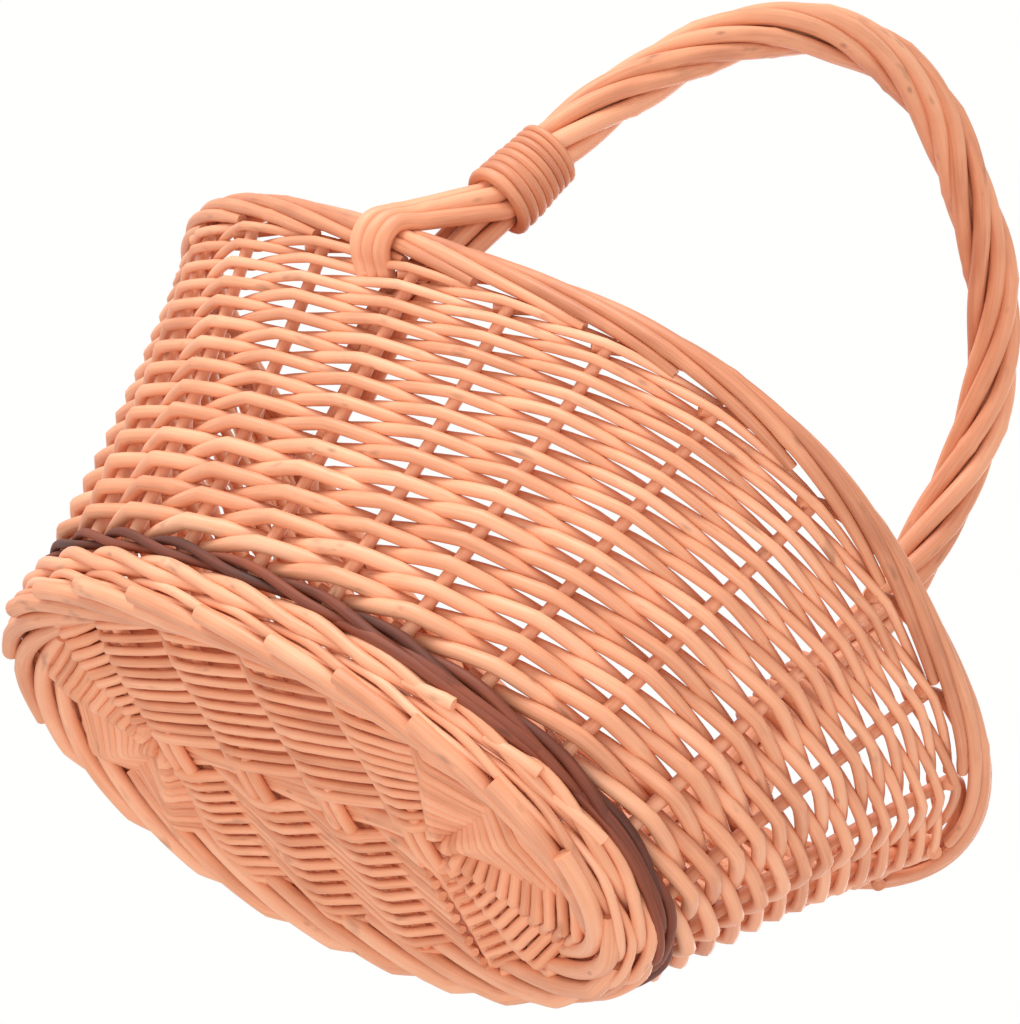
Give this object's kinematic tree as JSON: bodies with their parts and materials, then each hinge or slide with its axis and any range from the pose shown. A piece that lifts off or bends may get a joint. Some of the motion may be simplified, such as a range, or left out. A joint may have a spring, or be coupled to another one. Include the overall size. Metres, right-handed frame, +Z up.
{
  "type": "mushroom foraging basket",
  "caption": "Oval wicker foraging basket with a flaring woven side, a darker band above the foot, a rolled border and a twisted bow handle.",
  "frame": {"origin": "centre of the foot's flat underside, on the surface that the basket stands on", "axes": "+Z up; +X along the basket's long axis; +Y across it, in the plane of the handle"},
  "size_m": [0.3987, 0.3262, 0.3943],
  "materials": {
    "willow": "buff willow rods, smooth and slightly satin, reddish tan with darker joints",
    "pale_willow": "paler, drier willow of the base and foot, matt",
    "dark_willow": "dark reddish brown willow rods of the band, satin"
  },
  "bodies": {
    "root": {"base_weave": "pale_willow", "foot_border": "pale_willow", "cross_stick_1": "pale_willow", "cross_stick_2": "pale_willow", "cross_stick_3": "pale_willow", "cross_stick_4": "pale_willow", "cross_stick_5": "pale_willow", "cross_stick_6": "pale_willow", "cross_stick_7": "pale_willow", "cross_stick_8": "pale_willow", "long_stick_1": "pale_willow", "long_stick_2": "pale_willow", "long_stick_3": "pale_willow", "long_stick_4": "pale_willow", "light_wale": "willow", "side_weave": "willow", "rim_border": "willow", "handle_core": "willow", "handle_rod_1": "willow", "handle_rod_2": "willow", "handle_rod_3": "willow", "handle_rod_4": "willow", "handle_rod_5": "willow", "handle_rod_6": "willow", "lashing_near": "willow", "lashing_far": "willow", "stake_01": "willow", "stake_02": "willow", "stake_03": "willow", "stake_04": "willow", "stake_05": "willow", "stake_06": "willow", "stake_07": "willow", "stake_08": "willow", "stake_09": "willow", "stake_10": "willow", "stake_11": "willow", "stake_12": "willow", "stake_13": "willow", "stake_14": "willow", "stake_15": "willow", "stake_16": "willow", "stake_17": "willow", "stake_18": "willow", "stake_19": "willow", "stake_20": "willow", "stake_21": "willow", "stake_22": "willow", "stake_23": "willow", "dark_wale": "dark_willow"}
  },
  "joints": []
}
